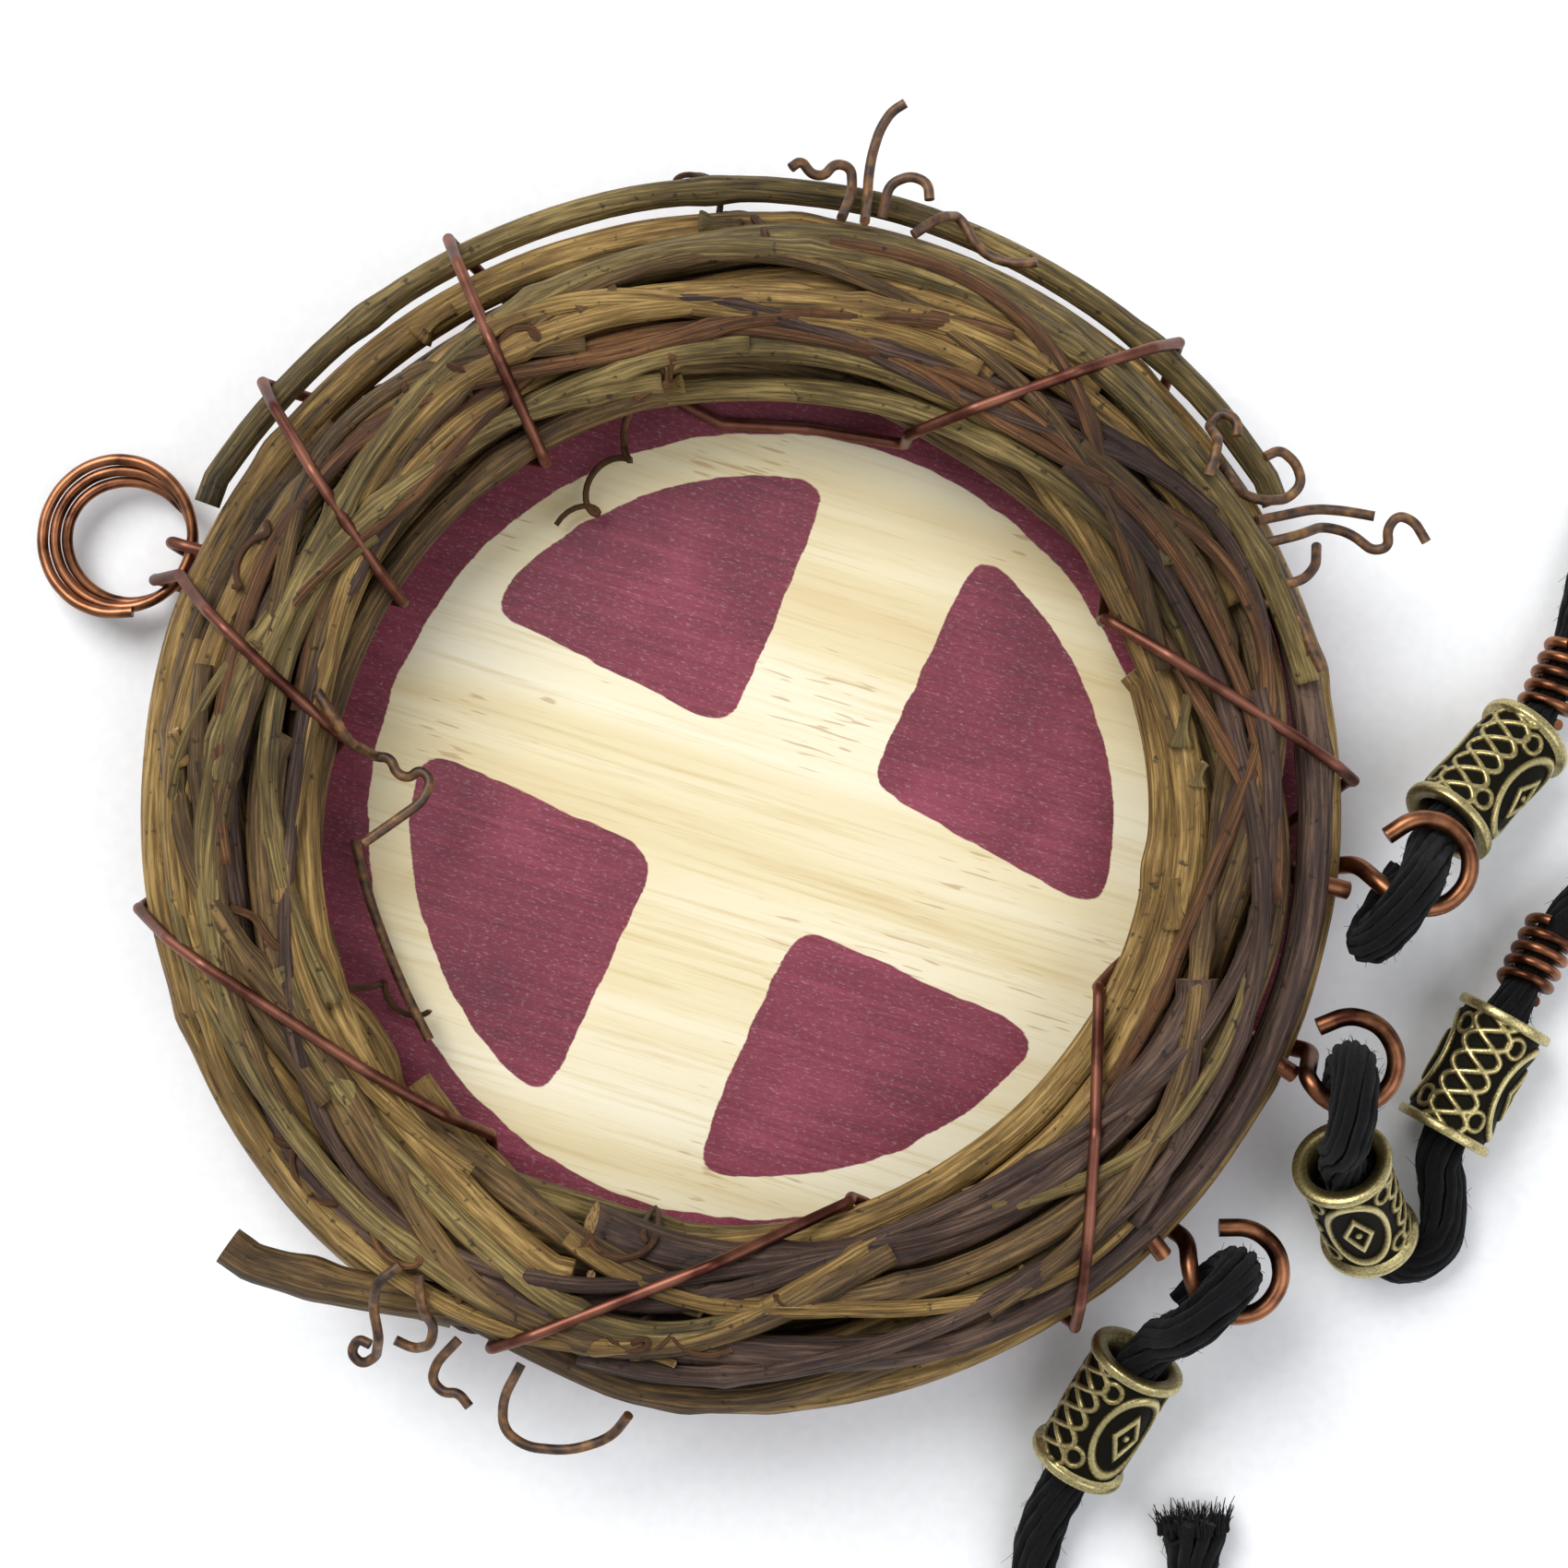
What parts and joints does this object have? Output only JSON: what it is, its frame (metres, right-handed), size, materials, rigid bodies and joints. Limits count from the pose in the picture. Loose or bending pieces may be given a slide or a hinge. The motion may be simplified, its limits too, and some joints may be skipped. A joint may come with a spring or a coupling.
{
  "type": "wreath wall hanging",
  "caption": "Painted wood disc glued behind a ring of wound vines laced with wire, with a wire hanging ring and hooks that carry beaded cords",
  "frame": {"origin": "centre of the wood disc's back face", "axes": "+Z points out of the painted face; -X is the side of the hanging ring and +X the side of the hooks and cords; the piece lies on its back on the plane z=0"},
  "size_m": [0.1503, 0.1425, 0.0233],
  "materials": {
    "vine_bark": "rough olive-brown grapevine bark",
    "vine_dark_bark": "darker purple-brown grapevine bark",
    "tendril": "dry brown tendril",
    "painted_wood": "bare pale pine with plum paint",
    "hot_glue": "milky",
    "lacing_copper": "dull reddish brown coated wire",
    "antique_copper": "antique copper, satin",
    "antique_brass": "antique brass with dark recesses",
    "black_yarn": "fuzzy black yarn"
  },
  "bodies": {
    "wreath": {"disc": "painted_wood", "glue_dots": "hot_glue", "lacing_wire": "lacing_copper", "vine_01": "vine_bark", "vine_02": "vine_bark", "vine_03": "vine_bark", "vine_04": "vine_dark_bark", "vine_05": "vine_bark", "vine_06": "vine_bark", "vine_07": "vine_bark", "vine_08": "vine_bark", "vine_09": "vine_bark", "vine_10": "vine_dark_bark", "vine_11": "vine_bark", "vine_12": "vine_bark", "vine_13": "vine_bark", "vine_dark": "vine_dark_bark", "vine_front_cut": "vine_bark", "vine_front_inner": "vine_bark", "vine_front_long": "vine_bark", "vine_front_right": "vine_bark", "vine_loose": "vine_bark", "vine_outer": "vine_bark", "vine_stub": "vine_bark", "tendril_inner": "tendril", "tendril_lower": "tendril", "tendril_right": "tendril", "tendril_top": "tendril"},
    "hanging_ring": {"hanging_ring": "antique_copper"},
    "hook_a": {"hook_a": "antique_copper"},
    "hook_b": {"hook_b": "antique_copper"},
    "hook_c": {"hook_c": "antique_copper"},
    "cord_a": {"cord_a": "black_yarn", "coil_a": "antique_copper"},
    "cord_b": {"cord_b": "black_yarn", "coil_b": "antique_copper"},
    "cord_c": {"cord_c": "black_yarn"},
    "bead_a": {"bead_a": "antique_brass"},
    "bead_b_lower": {"bead_b_lower": "antique_brass"},
    "bead_b_upper": {"bead_b_upper": "antique_brass"},
    "bead_c": {"bead_c": "antique_brass"}
  },
  "joints": [
    {"name": "ring_swing", "type": "hinge", "parent": "wreath", "child": "hanging_ring", "pos_m": [-0.05182, 0.02352, 0.0034], "axis": [0.4067, 0.9135, 0], "range_deg": [-8, 60]},
    {"name": "hook_a_swivel", "type": "hinge", "parent": "wreath", "child": "hook_a", "pos_m": [0.04952, -0.00414, 0.01195], "axis": [-0.1045, -0.9945, 0], "range_deg": [0, 12]},
    {"name": "cord_a_swing", "type": "hinge", "parent": "hook_a", "child": "cord_a", "pos_m": [0.0584, -0.0032, 0.0136], "axis": [0, 0, 1], "range_deg": [-2, 22]},
    {"name": "hook_b_swivel", "type": "hinge", "parent": "wreath", "child": "hook_b", "pos_m": [0.04534, -0.01974, 0.01195], "axis": [-0.4067, -0.9135, 0], "range_deg": [0, 12]},
    {"name": "cord_b_swing", "type": "hinge", "parent": "hook_b", "child": "cord_b", "pos_m": [0.0514, -0.0204, 0.017], "axis": [0, 0, 1], "range_deg": [-6, 3]},
    {"name": "hook_c_swivel", "type": "hinge", "parent": "wreath", "child": "hook_c", "pos_m": [0.03469, -0.03524, 0.01195], "axis": [-0.7071, -0.7071, 0], "range_deg": [0, 12]},
    {"name": "cord_c_swing", "type": "hinge", "parent": "hook_c", "child": "cord_c", "pos_m": [0.0419, -0.0392, 0.0125], "axis": [0, 0, 1], "range_deg": [0, 22]},
    {"name": "bead_a_slide", "type": "slide", "parent": "cord_a", "child": "bead_a", "axis": [0.659, 0.6522, -0.3746], "range_m": [-0.001, 0.0005]},
    {"name": "bead_b_lower_slide", "type": "slide", "parent": "cord_b", "child": "bead_b_lower", "axis": [0.311, -0.6211, -0.7193], "range_m": [-0.0008, 0.0005]},
    {"name": "bead_b_upper_slide", "type": "slide", "parent": "cord_b", "child": "bead_b_upper", "axis": [0.4848, 0.8746, 0], "range_m": [-0.001, 0.0005]},
    {"name": "bead_c_slide", "type": "slide", "parent": "cord_c", "child": "bead_c", "axis": [-0.4381, -0.8171, -0.3746], "range_m": [-0.001, 0.001]}
  ]
}
